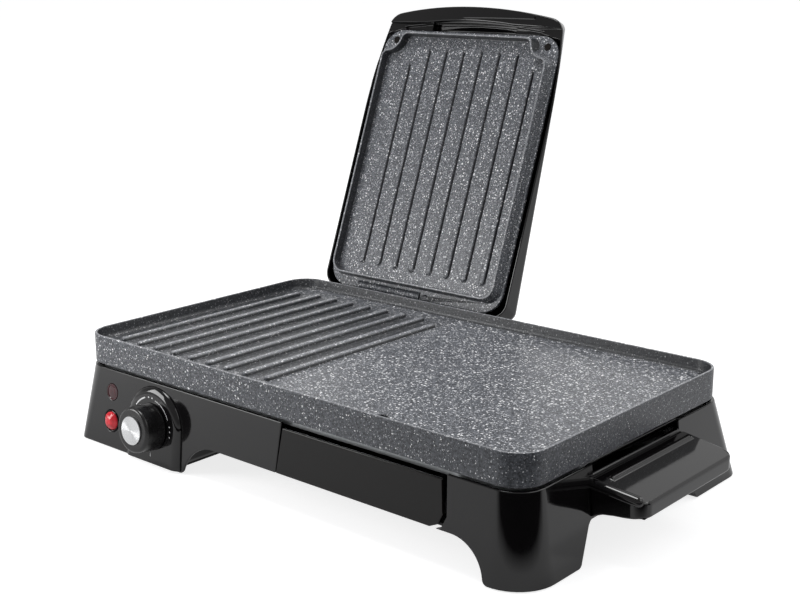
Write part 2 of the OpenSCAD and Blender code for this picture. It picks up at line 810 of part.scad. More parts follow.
module hinge_pins() {
    reach = arm_w / 2 + ear_gap + ear_w;
    color("#b8b6ae") for (x = arm_spots) translate([x, hinge_y, hinge_z]) rotate([0, 90, 0]) {
        translate([0, 0, -reach - 2]) cylinder(r = pin_r, h = 2 * reach + 3);
        translate([0, 0, -reach - 2]) cylinder(r = 4.5, h = 2);
    }
}

module hinge_arms() {
    color("#2b292a") raised() for (x = arm_spots) difference() {
        along_x(x - arm_w / 2, arm_w) difference() {
            union() {
                translate([hinge_y, hinge_z]) circle(knuckle_r);
                polygon([[cover_rear, hinge_z], [cover_rear + arm_t, hinge_z],
                    [cover_rear + arm_t, arm_top - 4], [cover_rear + arm_t - 4, arm_top],
                    [cover_rear, arm_top]]);
            }
            translate([hinge_y, hinge_z]) circle(pin_r + run_fit);
        }
        for (s = [-1, 1]) translate([x + s * 7, 0, screw_z]) rotate([-90, 0, 0])
            cylinder(r = 1.7, h = 300);
    }
}

module hinge_screws() {
    color("#9a9a98") raised() for (x = arm_spots, s = [-1, 1])
        translate([x + s * 7, cover_rear + arm_t, screw_z]) rotate([90, 0, 0])
            screw(0, 0, 0, 3.4, 2, 1.5, arm_t + 11);
}

// outline of the lid's rim, with a hollow at each front corner for a screw tab
module lid_rim_outline(inset) {
    offset(r = -inset) offset(r = 8) offset(r = -8) difference() {
        rounded_rect(lid_half, -lid_w, lid_w, 14);
        for (s = [-1, 1]) translate([s * (lid_half - 6), 3.5 - lid_w]) circle(notch_r);
    }
}

module lid_plate() {
    color("#3d3b3c") raised() translate([lid_x, 0, 0]) difference() {
        union() {
            translate([0, 0, flange_z]) linear_extrude(lid_t)
                rounded_rect(flange_half, -flange_front, flange_rear, tab_r);
            difference() {
                union() {
                    translate([0, 0, lid_rim_z]) linear_extrude(lid_rim_h, slices = 1,
                        scale = [1 + lid_draft / lid_half, 1 + 1.5 / lid_w]) lid_rim_outline(0);
                    translate([0, 0, flange_z]) linear_extrude(lid_back_z - flange_z)
                        lid_rim_outline(0);
                }
                translate([0, 0, lid_rim_z - 1]) linear_extrude(lid_floor_z - lid_rim_z + 1)
                    lid_rim_outline(lid_rim_t);
            }
            translate([0, 0, lid_floor_z - 3]) linear_extrude(4)
                for (i = [0:lid_rib_count - 1]) {
                    outer = i == 0 || i == lid_rib_count - 1;
                    stadium(-lid_half + lid_rib_first + i * lid_rib_pitch,
                        lid_rib_in - lid_w + (outer ? 16 : 0), lid_w - lid_rib_in, rib_w);
                }
            // low round bar near the hinge
            intersection() {
                translate([bar_x[0], bar_y, flange_z + 3.1]) rotate([0, 90, 0])
                    cylinder(r = bar_r, h = bar_x[1] - bar_x[0]);
                translate([-100, lid_w, flange_z - 5]) cube([200, flange_rear - lid_w - 0.2, 6]);
            }
        }
        for (b = lid_bosses) {
            translate([b[0], b[1], 0]) cylinder(r = 1.8, h = 200);
            translate([b[0], b[1], lid_rim_z]) cylinder(r = 3.8, h = lid_rim_h + lid_sink);
        }
        translate([0, 0, flange_z - 5]) linear_extrude(20) rotate(90)
            stadium(bar_y, -slot_x[1], -slot_x[0], 5);
    }
}

// half width of the cover, less an inset: full at the hinge, narrower towards the grip
function cover_side(y, inset) = cover_half - inset - (y < side_start ? pow(y - side_start, 2) / 960 : 0);

module cover_sides(inset) {
    levels = [cover_rear, side_start, for (y = [side_start - 10:-10:-cover_front - 10]) y];
    polygon(concat([for (y = levels) [cover_side(y, inset), y]],
        [for (i = [len(levels) - 1:-1:0]) [-cover_side(levels[i], inset), levels[i]]]));
}

module cover_outline() {
    offset(r = cover_corner) offset(r = -cover_corner) intersection() {
        cover_sides(0);
        translate([0, cover_bow_r - cover_front]) circle(cover_bow_r, $fn = 360);
    }
}

// everything on the plate's side of the grip's bowed inner edge
module lip_circle() {
    translate([0, lip_r - lip_y]) circle(lip_r, $fn = 360);
}

// the four round shoulders of the cover's back
module shoulders(wall_t, front) {
    for (s = [-1, 1]) {
        translate([s * (cover_half - 10), cover_rear - 10, flange_z + cover_rear_h - 10])
            sphere(10 - wall_t, $fn = 32);
        translate([s * (cover_half - shoulder_in), front, flange_z + cover_front_h - shoulder_r])
            sphere(shoulder_r - wall_t, $fn = 32);
    }
}

module cover_inside() {
    hull() {
        translate([0, 0, flange_z - 1]) linear_extrude(2) intersection() {
            rounded_rect(cover_half - cover_wall, -chamber, cover_rear - cover_wall, 14);
            cover_sides(cover_wall);
        }
        shoulders(cover_wall, -chamber + 12);
    }
}

module lid_cover() {
    color("#2b292a") raised() translate([lid_x, 0, 0]) difference() {
        union() {
            difference() {
                hull() {
                    translate([0, 0, flange_z]) linear_extrude(1) cover_outline();
                    shoulders(0, -cover_front + 15);
                }
                cover_inside();
            }
            intersection() {
                cover_inside();
                union() {
                    for (b = lid_bosses)
                        translate([b[0], b[1], flange_z + lid_t]) cylinder(r = 4.5, h = 40);
                    for (x = arm_spots, s = [-1, 1])
                        translate([x - lid_x + s * 7, cover_rear, screw_z]) rotate([90, 0, 0])
                            cylinder(r = 4, h = 14);
                }
            }
        }
        for (b = lid_bosses) translate([b[0], b[1], 0]) cylinder(r = 1.6, h = flange_z + lid_screw_l + 0.8);
        for (x = arm_spots, s = [-1, 1])
            translate([x - lid_x + s * 7, cover_rear + 1, screw_z]) rotate([90, 0, 0])
                cylinder(r = 1.6, h = 14);
        // finger pocket behind the grip
        translate([0, 0, flange_z - 1]) for (p = [[pocket_half, 11], [pocket_half + 34, 4]])
            linear_extrude(p[1]) intersection() {
                rounded_rect(p[0], -lip_y - 5, -flange_front - 0.3, 4);
                lip_circle();
            }
        translate([0, 0, flange_z - 1]) linear_extrude(lid_back_z - flange_z + 1.3)
            rounded_rect(flange_half + 0.6, -flange_front - 0.6, 0, tab_r);
    }
}

module lid_handle() {
    bow = (pow(cover_half - 2, 2) + pow(lid_rim_h, 2)) / (2 * lid_rim_h);
    color("#2b292a") raised() translate([lid_x, 0, 0]) intersection() {
        translate([0, 0, lid_rim_z]) linear_extrude(lid_rim_h) difference() {
            cover_outline();
            lip_circle();
            translate([-200, -half_w - 1.2]) square([400, 400]);
        }
        translate([0, 0, lid_rim_z + bow]) rotate([90, 0, 0])
            cylinder(r = bow, h = 400, $fn = 256);
    }
}

module lid_screws() {
    color("#9a9a98") raised() translate([lid_x, 0, 0]) {
        for (b = lid_bosses)
            screw(b[0], b[1], flange_z + lid_sink, 3.4, lid_sink, 1.5, lid_screw_l - lid_sink);
    }
}

module upper_element() {
    color("#8d8a86") raised() translate([lid_x, 0, up_tube_z]) rotate([0, 0, -90])
        serpentine(up_end, up_runs, up_bend);
}

module upper_clamps() {
    color("#a9abab") raised() translate([lid_x, 0, 2 * up_tube_z]) rotate([180, 0, 90])
        for (y = [-50, 50], s = [-1, 1]) clamp(y, s * up_runs, up_tube_z, 2 * up_tube_z - lid_back_z);
}

module lid_insulation() {
    color("#c9c6bd") raised() translate([lid_x, 0, up_tube_z + tube_r + 2.6])
        linear_extrude(1) rounded_rect(up_runs + 6, -up_end, up_end + 18, 8);
}

base_housing();
control_cover();
bottom_cover();
rubber_feet();
cover_screws();
left_handle();
right_handle();
lower_plate();
plate_screws();
reflector_pan();
lower_element();
lower_clamps();
control_bezel();
thermostat();
thermostat_nut();
thermostat_shaft();
knob();
knob_cap();
upper_lens();
lower_lens();
neon_lamps();
terminal_block();
internal_wires();
cord_gland();
drawer_front();
drip_tray();
drawer_runners();
hinge_brackets();
hinge_pins();
hinge_arms();
hinge_screws();
lid_plate();
lid_cover();
lid_handle();
lid_screws();
upper_element();
upper_clamps();
lid_insulation();
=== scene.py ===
import math
import bpy
from mathutils import Matrix, Vector


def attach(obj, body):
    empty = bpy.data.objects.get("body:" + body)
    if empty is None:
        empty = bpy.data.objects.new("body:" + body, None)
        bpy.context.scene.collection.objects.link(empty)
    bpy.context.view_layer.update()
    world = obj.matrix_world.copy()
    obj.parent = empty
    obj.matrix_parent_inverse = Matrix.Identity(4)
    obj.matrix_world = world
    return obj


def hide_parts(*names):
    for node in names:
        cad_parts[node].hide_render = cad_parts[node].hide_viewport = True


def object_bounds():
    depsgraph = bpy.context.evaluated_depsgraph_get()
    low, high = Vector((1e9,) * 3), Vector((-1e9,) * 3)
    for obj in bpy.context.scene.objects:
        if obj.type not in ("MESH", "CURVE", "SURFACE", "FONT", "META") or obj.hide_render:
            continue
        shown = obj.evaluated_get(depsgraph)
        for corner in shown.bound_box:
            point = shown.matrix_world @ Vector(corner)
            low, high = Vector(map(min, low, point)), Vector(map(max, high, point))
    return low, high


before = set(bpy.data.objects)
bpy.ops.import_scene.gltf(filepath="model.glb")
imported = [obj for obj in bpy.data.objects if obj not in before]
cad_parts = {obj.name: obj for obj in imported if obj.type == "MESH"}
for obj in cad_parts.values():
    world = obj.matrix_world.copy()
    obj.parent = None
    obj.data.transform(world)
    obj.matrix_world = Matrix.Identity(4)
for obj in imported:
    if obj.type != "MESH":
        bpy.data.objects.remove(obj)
cad_low, cad_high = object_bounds()

# ---------------------------------------------------------------- camera
# The viewer stands off the right front corner, a little higher than the raised lid,
# with a lens of about 60 mm.
lens_data = bpy.data.cameras.new("camera")
lens_data.sensor_width = 36
lens_data.lens = 59.5
camera = bpy.data.objects.new("camera", lens_data)
bpy.context.scene.collection.objects.link(camera)
camera.location = (0.6957, -0.7988, 0.4084)
camera.rotation_euler = (math.radians(75.66), 0, math.radians(40.62))
bpy.context.scene.camera = camera

# ---------------------------------------------------------------- studio
# A white table in a white room: a small lamp low at the front left, one high above, and wide ones
# at the right and behind. Gloss plastic and metal mirror the room; the table keeps a soft shadow.


def linear(code):
    """An sRGB hex code as the linear colour that Blender works in."""
    parts = [int(code[i:i + 2], 16) / 255 for i in (1, 3, 5)]
    return [p / 12.92 if p <= 0.04045 else ((p + 0.055) / 1.055) ** 2.4 for p in parts] + [1]


def fill(tree, node, inputs):
    """Sets a node's sockets to values, or links them; a node stands for its first output."""
    for socket, value in inputs.items():
        if isinstance(value, bpy.types.Node):
            value = value.outputs[0]
        if isinstance(value, bpy.types.NodeSocket):
            tree.links.new(value, node.inputs[socket])
        else:
            node.inputs[socket].default_value = value


def add(tree, kind, inputs=None, **settings):
    """Adds a node with its settings, and fills its sockets.

    Sockets that share a name go by number, as in Math, Vector Math and Mix Shader. In a colour
    Mix, 6 and 7 are the two colours and output 2 is their blend.
    """
    made = tree.nodes.new("ShaderNode" + kind)
    for setting, value in settings.items():
        setattr(made, setting, value)
    fill(tree, made, inputs or {})
    return made


def seen_directly(tree):
    """1 for rays from the eye, a mirror or glass and 0 for soft light; then 1 for mirrors only."""
    path = add(tree, "LightPath")
    eye = add(tree, "Math", {0: path.outputs["Is Camera Ray"], 1: path.outputs["Is Glossy Ray"]},
              operation="MAXIMUM")
    every = add(tree, "Math", {0: eye, 1: path.outputs["Is Transmission Ray"]},
                operation="MAXIMUM")
    return every, path.outputs["Is Glossy Ray"]


room = bpy.data.worlds.new("white_room")
bpy.context.scene.world = room
room.use_nodes = True
tree = room.node_tree
tree.nodes.clear()
seen, mirrored = seen_directly(tree)
soft_light = add(tree, "Background", {"Color": linear("#fbfcff"), "Strength": 0.46})
# mirrored rays meet a dimmer room above the table on the viewer's side, and white behind
ray_way = add(tree, "SeparateXYZ", {0: add(tree, "TexCoord").outputs["Generated"]})
ceiling = add(tree, "MapRange", {"Value": ray_way.outputs["Z"], "From Max": 0.22, "To Min": 0.85,
                                 "To Max": 0.33})
behind = add(tree, "MapRange", {"Value": ray_way.outputs["Y"], "From Min": -0.2, "From Max": 0.5})
around = add(tree, "Mix", {"Factor": behind, "A": ceiling, "B": 0.88})
brightness = add(tree, "Mix", {"Factor": mirrored, "A": 1.0, "B": around})
white_wall = add(tree, "Background", {"Color": linear("#ffffff"), "Strength": brightness})
either = add(tree, "MixShader", {0: seen, 1: soft_light, 2: white_wall})
add(tree, "OutputWorld", {0: either})

# The table is lit by its own glow where it is seen, so only the object's shadow darkens it. What
# gloss plastic mirrors is white too, but for the side where the viewer's own dark shape stands.
floor_side = 120
bpy.ops.mesh.primitive_plane_add(size=floor_side, location=(0, 0, 0))
floor = bpy.context.object
floor.name = "floor"
table = bpy.data.materials.new("painted_table_top")
table.use_nodes = True
tree = table.node_tree
tree.nodes.clear()
seen, mirrored = seen_directly(tree)
lit = add(tree, "BsdfDiffuse", {"Color": linear("#a6a6a6")})
shade_only = add(tree, "BsdfDiffuse", {"Color": linear("#b4b4b4")})
place = add(tree, "TexCoord").outputs["Object"]
# the way to the viewer, and how far along it, in m, the dark shape begins and is whole
viewer_way, shape_from, shape_full = (0.75, -0.66, 0), 0.31, 0.37
toward_viewer = add(tree, "VectorMath", {0: place, 1: viewer_way}, operation="DOT_PRODUCT")
dark_side = add(tree, "MapRange", {"Value": toward_viewer.outputs["Value"],
                                   "From Min": shape_from, "From Max": shape_full})
dimmed = add(tree, "Math", {0: dark_side, 1: mirrored}, operation="MULTIPLY")
strength = add(tree, "MapRange", {"Value": mirrored, "To Min": 0.8, "To Max": 0.36})
glow = add(tree, "Emission", {"Color": linear("#ffffff"), "Strength": strength})
glowing = add(tree, "AddShader", {0: shade_only, 1: glow})
viewer = add(tree, "Emission", {"Color": linear("#101010"), "Strength": 1.0})
both = add(tree, "MixShader", {0: dimmed, 1: glowing, 2: viewer})
either = add(tree, "MixShader", {0: seen, 1: lit, 2: both})
add(tree, "OutputMaterial", {0: either})
floor.data.materials.append(table)

# name, place, aimed at, width, height, watts
lamps = [
    ("lamp_left", (-0.62, -0.68, 0.36), (-0.1, -0.1, 0.1), 0.4, 0.4, 4.0),
    ("lamp_above", (-0.4, -0.3, 2.2), (0, 0, 0.1), 0.8, 0.7, 19),
    ("lamp_right", (1.9, 0.3, 1.7), (0, 0, 0.1), 1.4, 1.4, 10),
    ("lamp_back", (0.9, 1.9, 2.2), (0, 0, 0.2), 1.6, 0.9, 14),
]
for name, lamp_place, target, width, height, watts in lamps:
    lamp_data = bpy.data.lights.new(name, "AREA")
    lamp_data.shape = "RECTANGLE"
    lamp_data.size = width
    lamp_data.size_y = height
    lamp_data.energy = watts
    lamp = bpy.data.objects.new(name, lamp_data)
    lamp.location = lamp_place
    aim = Vector(target) - Vector(lamp_place)
    lamp.rotation_euler = aim.to_track_quat("-Z", "Y").to_euler()
    bpy.context.scene.collection.objects.link(lamp)

bpy.context.scene.view_settings.view_transform = "Standard"

# ---------------------------------------------------------------- base housing
# The one-piece outer shell of the base: gloss black ABS, injection moulded, open below, with its
# corner legs, arches and screw posts. Its edges carry the small rounding of the mould.


def new_finish(name, colour, roughness, **sockets):
    """A material with its Principled shader set up: the material, its nodes and the shader."""
    made = bpy.data.materials.new(name)
    made.use_nodes = True
    shader = made.node_tree.nodes["Principled BSDF"]
    fill(made.node_tree, shader, {"Base Color": linear(colour), "Roughness": roughness})
    fill(made.node_tree, shader, {key.replace("_", " "): sockets[key] for key in sockets})
    return made, made.node_tree, shader


def moulded_plastic(name, colour, roughness, relief, polish, **sockets):
    """A moulded plastic: one noise raises its skin and another dulls its polish.

    relief is spots to the metre, detail, strength and depth in metres; polish is spots to the
    metre, the part of the noise that counts, and the roughness at its two ends.
    """
    made, tree, shader = new_finish(name, colour, roughness, **sockets)
    place = add(tree, "TexCoord").outputs["Object"]
    spots, detail, strength, depth = relief
    skin = add(tree, "TexNoise", {"Vector": place, "Scale": spots, "Detail": detail})
    raised = add(tree, "Bump", {"Height": skin, "Strength": strength, "Distance": depth})
    spots, noise_low, noise_high, clear, dull = polish
    marks = add(tree, "TexNoise", {"Vector": place, "Scale": spots, "Detail": 3.0})
    haze = add(tree, "MapRange", {"Value": marks, "From Min": noise_low, "From Max": noise_high,
                                  "To Min": clear, "To Max": dull})
    fill(tree, shader, {"Roughness": haze, "Normal": raised})
    return made


def give(piece, finish):
    """Puts one finish on a whole piece."""
    piece.data.materials.clear()
    piece.data.materials.append(finish)


def pick(piece):
    """Selects one piece alone and makes it the active one."""
    bpy.ops.object.select_all(action="DESELECT")
    piece.select_set(True)
    bpy.context.view_layer.objects.active = piece


def edit(piece, mode="FACE", test=None):
    """Opens a piece in edit mode with nothing selected, or the parts whose corners pass a test."""
    pick(piece)
    bpy.ops.object.mode_set(mode="EDIT")
    bpy.ops.mesh.select_mode(type=mode)
    bpy.ops.mesh.select_all(action="DESELECT")
    if test:
        close()
        points = piece.data.vertices
        parts = {"VERT": points, "EDGE": piece.data.edges, "FACE": piece.data.polygons}[mode]
        for part in parts:
            corners = [part.index] if mode == "VERT" else part.vertices
            part.select = test(*(points[corner].co for corner in corners))
        bpy.ops.object.mode_set(mode="EDIT")


def close():
    """Leaves edit mode."""
    bpy.ops.object.mode_set(mode="OBJECT")


def select_all():
    """Selects all of the mesh that is being edited."""
    bpy.ops.mesh.select_all(action="SELECT")


def smooth(degrees):
    """Shades the active piece smooth, but for edges sharper than this."""
    bpy.ops.object.shade_smooth_by_angle(angle=math.radians(degrees))


def cast_from(node, name):
    """The exact shape of a CAD node as a new piece, its triangles joined into whole faces."""
    piece = bpy.data.objects.new(name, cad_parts[node].data.copy())
    bpy.context.scene.collection.objects.link(piece)
    edit(piece, "VERT")
    select_all()
    bpy.ops.mesh.remove_doubles(threshold=0.00004)
    bpy.ops.mesh.dissolve_limited(angle_limit=math.radians(0.6))
    close()
    return piece


def round_edges(piece, radius, segments, test):
    """Rounds the edges whose two ends both pass the test."""
    edit(piece, "EDGE", lambda start, end: test(start) and test(end))
    bpy.ops.mesh.bevel(offset=radius, segments=segments, affect="EDGES", clamp_overlap=False)
    close()


def even_shading(piece):
    """Shades a piece smooth up to its sharp edges, led by its large faces."""
    pick(piece)
    smooth(35)
    evening = piece.modifiers.new("even_shading", "WEIGHTED_NORMAL")
    evening.keep_sharp = True
    bpy.ops.object.modifier_apply(modifier=evening.name)


def mould_edges(piece, radius, segments=2, angle=30):
    """Breaks each sharp edge with a small radius, and shades the faces smooth in between."""
    pick(piece)
    rounding = piece.modifiers.new("mould_radius", "BEVEL")
    rounding.width = radius
    rounding.segments = segments
    rounding.limit_method = "ANGLE"
    rounding.angle_limit = math.radians(angle)
    rounding.use_clamp_overlap = False
    bpy.ops.object.modifier_apply(modifier=rounding.name)
    even_shading(piece)


def belongs(piece, body, finish):
    """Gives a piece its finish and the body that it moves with."""
    give(piece, finish)
    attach(piece, body)


def stands_for(piece, node, body, finish):
    """Shows a finished piece in place of its CAD node."""
    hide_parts(node)
    belongs(piece, body, finish)


# High-gloss ABS: near black with a mirror-like skin, the faint long waves of a moulded wall (one
# every 45 mm) and a haze of fine dust and wiping marks about 4 mm across.
abs_gloss = moulded_plastic("moulded_gloss_abs", "#0d0c0d", 0.09, relief=(22.0, 1.0, 0.1, 0.0005),
                            polish=(260.0, 0.35, 0.75, 0.06, 0.1))

housing = cast_from("base_housing", "base_shell")
mould_edges(housing, 0.0008)
stands_for(housing, "base_housing", "root", abs_gloss)

# ---------------------------------------------------------------- side handles
# Two hollow grips of the same gloss ABS, snapped to the ends of the housing, with a rounded rim
# round the hand opening, a raised rib along the top and a groove beside it.


def start_from(shape, name, **sizes):
    """Adds a primitive to be worked into a piece, named and alone selected."""
    bpy.ops.object.select_all(action="DESELECT")
    shape(**sizes)
    bpy.context.object.name = name
    return bpy.context.object


# the front arm ends in a thick rounded lip, moulded in one with the handle
lip_r, lip_y = 0.004, -0.0592
inner_end, outer_end = Vector((0.2340, lip_y, 0.0572)), Vector((0.2745, lip_y, 0.0532))
lip_run = outer_end - inner_end
lip_place = (Matrix.Translation((inner_end + outer_end) / 2)
             @ lip_run.to_track_quat("Z", "Y").to_matrix().to_4x4())
for side, node in ((1, "right_handle"), (-1, "left_handle")):
    grip = cast_from(node, node.replace("handle", "grip"))
    mould_edges(grip, 0.0018, 4)
    for point in grip.data.vertices:
        point.co.x = max(cad_low[0], min(cad_high[0], point.co.x))
    stands_for(grip, node, "root", abs_gloss)

    arm_lip = start_from(bpy.ops.mesh.primitive_cylinder_add, node.replace("handle", "grip_lip"),
                         vertices=32, radius=lip_r, depth=lip_run.length + 2 * lip_r)
    edit(arm_lip, "EDGE", lambda start, end: abs(start.z - end.z) < 0.001)
    bpy.ops.mesh.bevel(offset=lip_r - 0.00005, segments=8, affect="EDGES")
    close()
    smooth(40)
    arm_lip.data.transform(Matrix.Scale(side, 4, (1, 0, 0)) @ lip_place)
    if side < 0:
        arm_lip.data.flip_normals()
    belongs(arm_lip, "root", abs_gloss)

# ---------------------------------------------------------------- lower plate
# The die-cast aluminium griddle: a shallow well with rounded ribs, a thin standing rim and a drain
# to the drip tray, sprayed with a speckled stone-look non-stick coat.
# m, matching the casting: crown of the ribs, top of the rim, middle of the last rib
rib_crown, rim_top, last_rib_x = 0.09, 0.0973, -0.0365


def stone_coat(name, faced, size, middle, reach_x, rim_rise, fleck_tones, right_end_shade, last_rib):
    """The sprayed coat of one plate.

    faced is the way the plate faces, size scales its flecks, and middle is the plate's middle at
    the height of the crowns. In m, the ribs lie within reach_x of that to each side, the rim
    stands rim_rise over the crowns, and the last rib that shades the floor is at last_rib.
    Steep faces get a painted shade, which deepens towards the right end, to the factor given after
    fleck_tones.
    """
    made, tree, shader = new_finish(name, "#4a4b4f", 0.38)
    coords = add(tree, "TexCoord")
    place, normal = coords.outputs["Object"], coords.outputs["Normal"]
    spot = add(tree, "SeparateXYZ", {0: place})
    offset = add(tree, "VectorMath", {0: place, 1: middle}, operation="SUBTRACT")
    rise = add(tree, "VectorMath", {0: offset, 1: faced}, operation="DOT_PRODUCT").outputs["Value"]
    square = add(tree, "VectorMath", {0: normal, 1: faced},
                 operation="DOT_PRODUCT").outputs["Value"]

    # painted shade: steep faces are darker than faces square to the plate, most at the right end,
    # where the light falls off
    turned = add(tree, "Math", {0: square}, operation="ABSOLUTE")
    steep_shade_along_x = add(tree, "MapRange", {"Value": spot.outputs["X"], "From Min": -0.1, "From Max": 0.22,
                                   "To Min": 0.8, "To Max": right_end_shade})
    steep_shade_factor = add(tree, "MapRange", {"Value": turned, "From Min": 0.5, "From Max": 0.95,
                                     "To Min": steep_shade_along_x})

    # painted shade on the flanks of the ribs, which face away from the light
    turned_x = add(tree, "SeparateXYZ", {0: normal}).outputs["X"]
    sideways = add(tree, "Math", {0: turned_x}, operation="ABSOLUTE")
    steep = add(tree, "MapRange", {"Value": sideways, "From Min": 0.3, "From Max": 0.75,
                                   "To Max": 0.8})
    in_well = add(tree, "Math", {0: spot.outputs["X"], 1: middle[0], 2: reach_x},
                  operation="COMPARE")
    flank_shade = add(tree, "Math", {0: steep, 1: in_well}, operation="MULTIPLY")

    # painted shade on the inner walls, whose faces turn to the middle of the plate
    outward = add(tree, "VectorMath", {0: normal, 1: offset},
                  operation="DOT_PRODUCT").outputs["Value"]
    upward = add(tree, "Math", {0: square, 1: rise}, operation="MULTIPLY")
    level = add(tree, "Math", {0: outward, 1: upward}, operation="SUBTRACT")
    inner_wall_shade = add(tree, "MapRange", {"Value": level, "From Min": -0.085, "From Max": -0.045,
                                        "To Min": 0.7, "To Max": 0.0})

    # painted shadow of the ribs on the floor between them, up to where they end
    open_up = add(tree, "MapRange", {"Value": square, "From Min": 0.4, "From Max": 0.8})
    among_ribs = add(tree, "MapRange", {"Value": spot.outputs["X"], "From Min": last_rib + 0.003,
                                        "From Max": last_rib + 0.0045, "To Min": 1.0,
                                        "To Max": 0.0})
    off_middle = add(tree, "Math", {0: spot.outputs["Y"]}, operation="ABSOLUTE")
    inside_ends = add(tree, "MapRange", {"Value": off_middle, "From Min": 0.098,
                                         "From Max": 0.117, "To Min": 1.0, "To Max": 0.25})
    valley_shade = add(tree, "MapRange", {"Value": rise, "From Min": -0.0004, "From Max": -0.0026,
                                    "To Max": 0.7})
    for share in (inside_ends, among_ribs, open_up):
        valley_shade = add(tree, "Math", {0: valley_shade, 1: share}, operation="MULTIPLY")
    # painted shade of the flanks, the inner walls and the floor between the ribs, taken together
    side_shade = add(tree, "Math", {0: flank_shade, 1: inner_wall_shade}, operation="MAXIMUM")
    shaded = add(tree, "Math", {0: side_shade, 1: valley_shade}, operation="MAXIMUM")

    # painted highlights: a paler band along the crowns of the ribs, and on the narrow top of the
    # rim
    crown_highlight = add(tree, "MapRange", {"Value": rise, "From Min": -0.0014, "From Max": -0.0002,
                                   "To Max": 0.22})
    under_rim = add(tree, "Math", {0: rise, 1: 0.001}, operation="LESS_THAN")
    for share in (under_rim, open_up, among_ribs):
        crown_highlight = add(tree, "Math", {0: crown_highlight, 1: share}, operation="MULTIPLY")
    rim_highlight = add(tree, "MapRange", {"Value": rise, "From Min": rim_rise - 0.0003,
                                 "From Max": rim_rise, "To Max": 0.3})

    # a dark base with a grey mist, and on it flecks of three sizes with blown-in edges
    mottle = add(tree, "TexNoise", {"Vector": place, "Scale": 430.0 / size, "Detail": 3.0,
                                    "Roughness": 0.65})
    mist = add(tree, "MapRange", {"Value": mottle, "From Min": 0.36, "From Max": 0.66})
    # the mist is dimmed on steep faces by their painted shade
    mist_and_shade = add(tree, "Math", {0: mist, 1: steep_shade_factor}, operation="MULTIPLY")
    colour = add(tree, "Mix", {0: mist_and_shade, 6: linear("#2a2c30"), 7: linear("#6c6f75")},
                 data_type="RGBA").outputs[2]
    warp = add(tree, "TexNoise", {"Vector": place, "Scale": 900.0, "Detail": 1.0})
    centred = add(tree, "VectorMath", {0: warp.outputs["Color"], 1: (0.5, 0.5, 0.5)},
                  operation="SUBTRACT")
    frayed = add(tree, "VectorMath", {0: centred, "Scale": 0.0016}, operation="SCALE")
    fleck_place = add(tree, "VectorMath", {0: place, 1: frayed}, operation="ADD")
    # spacing of the flecks in mm, radius of the largest in mm, colour
    for cell, radius, tone in zip((1.5, 2.3, 3.6), (0.72, 1.0, 1.3), fleck_tones):
        cells = add(tree, "TexVoronoi", {"Vector": fleck_place, "Scale": 1000 / (cell * size)})
        chance = add(tree, "SeparateColor", {0: cells.outputs["Color"]})
        reach = add(tree, "Math", {0: chance, 1: radius / cell}, operation="MULTIPLY")
        # flecks shrink on steep faces with their painted shade
        fewer = add(tree, "Math", {0: reach, 1: steep_shade_factor}, operation="MULTIPLY")
        inside = add(tree, "Math", {0: fewer, 1: cells.outputs["Distance"]},
                     operation="SUBTRACT")
        fleck = add(tree, "MapRange", {"Value": inside, "From Max": 0.03})
        colour = add(tree, "Mix", {0: fleck, 6: colour, 7: linear(tone)},
                     data_type="RGBA").outputs[2]
    # the painted shade, then the painted highlights of the crowns and the rim top, over the coat
    for share, tone in ((shaded, "#17181a"), (crown_highlight, "#c2c4c8"), (rim_highlight, "#b4b5b8")):
        colour = add(tree, "Mix", {0: share, 6: colour, 7: linear(tone)},
                     data_type="RGBA").outputs[2]

    peel = add(tree, "TexNoise", {"Vector": place, "Scale": 900.0, "Detail": 2.0})
    grain = add(tree, "Bump", {"Height": peel, "Strength": 0.35, "Distance": 0.0004})
    fill(tree, shader, {"Base Color": colour, "Normal": grain})
    return made


# Stone-look non-stick coat: a dark grey sprayed base full of blown-in pale flecks up to 2 mm
# across, with the soft gloss and fine orange peel of a baked coating, about 1 mm from dip to dip.
# steep faces are painted in shade, down to 0.55 of their tone at the plate's right end
plate_stone = stone_coat("sprayed_stone_nonstick_plate", faced=(0, 0, 1), size=0.82,
                         middle=(0, 0, rib_crown), reach_x=0.222, rim_rise=rim_top - rib_crown,
                         fleck_tones=("#97989c", "#d2d3d6", "#fafafa"), right_end_shade=0.55,
                         last_rib=last_rib_x)
griddle = cast_from("lower_plate", "griddle_plate")
round_edges(griddle, 0.0024, 5, lambda p: abs(p.z - rib_crown) < 0.00005)
mould_edges(griddle, 0.0007, 2, 35)
stands_for(griddle, "lower_plate", "root", plate_stone)


def mottled(name, colour, roughness, spots, detail, tones=None, dulled=None, relief=None,
            distortion=0.0, **sockets):
    """A material ruled by one noise, with so many spots to the metre.

    It blends two tones, spans two roughnesses, and raises a relief of some strength and depth.
    """
    made, tree, shader = new_finish(name, colour, roughness, **sockets)
    noise = add(tree, "TexNoise", {"Vector": add(tree, "TexCoord").outputs["Object"],
                                   "Scale": spots, "Detail": detail, "Distortion": distortion})
    if tones:
        tone = add(tree, "Mix", {0: noise, 6: linear(tones[0]), 7: linear(tones[1])},
                   data_type="RGBA")
        fill(tree, shader, {"Base Color": tone.outputs[2]})
    if dulled:
        dull = add(tree, "MapRange", {"Value": noise, "From Min": 0.3, "From Max": 0.7,
                                      "To Min": dulled[0], "To Max": dulled[1]})
        fill(tree, shader, {"Roughness": dull})
    if relief:
        raised = add(tree, "Bump", {"Height": noise, "Strength": relief[0],
                                    "Distance": relief[1]})
        fill(tree, shader, {"Normal": raised})
    return made


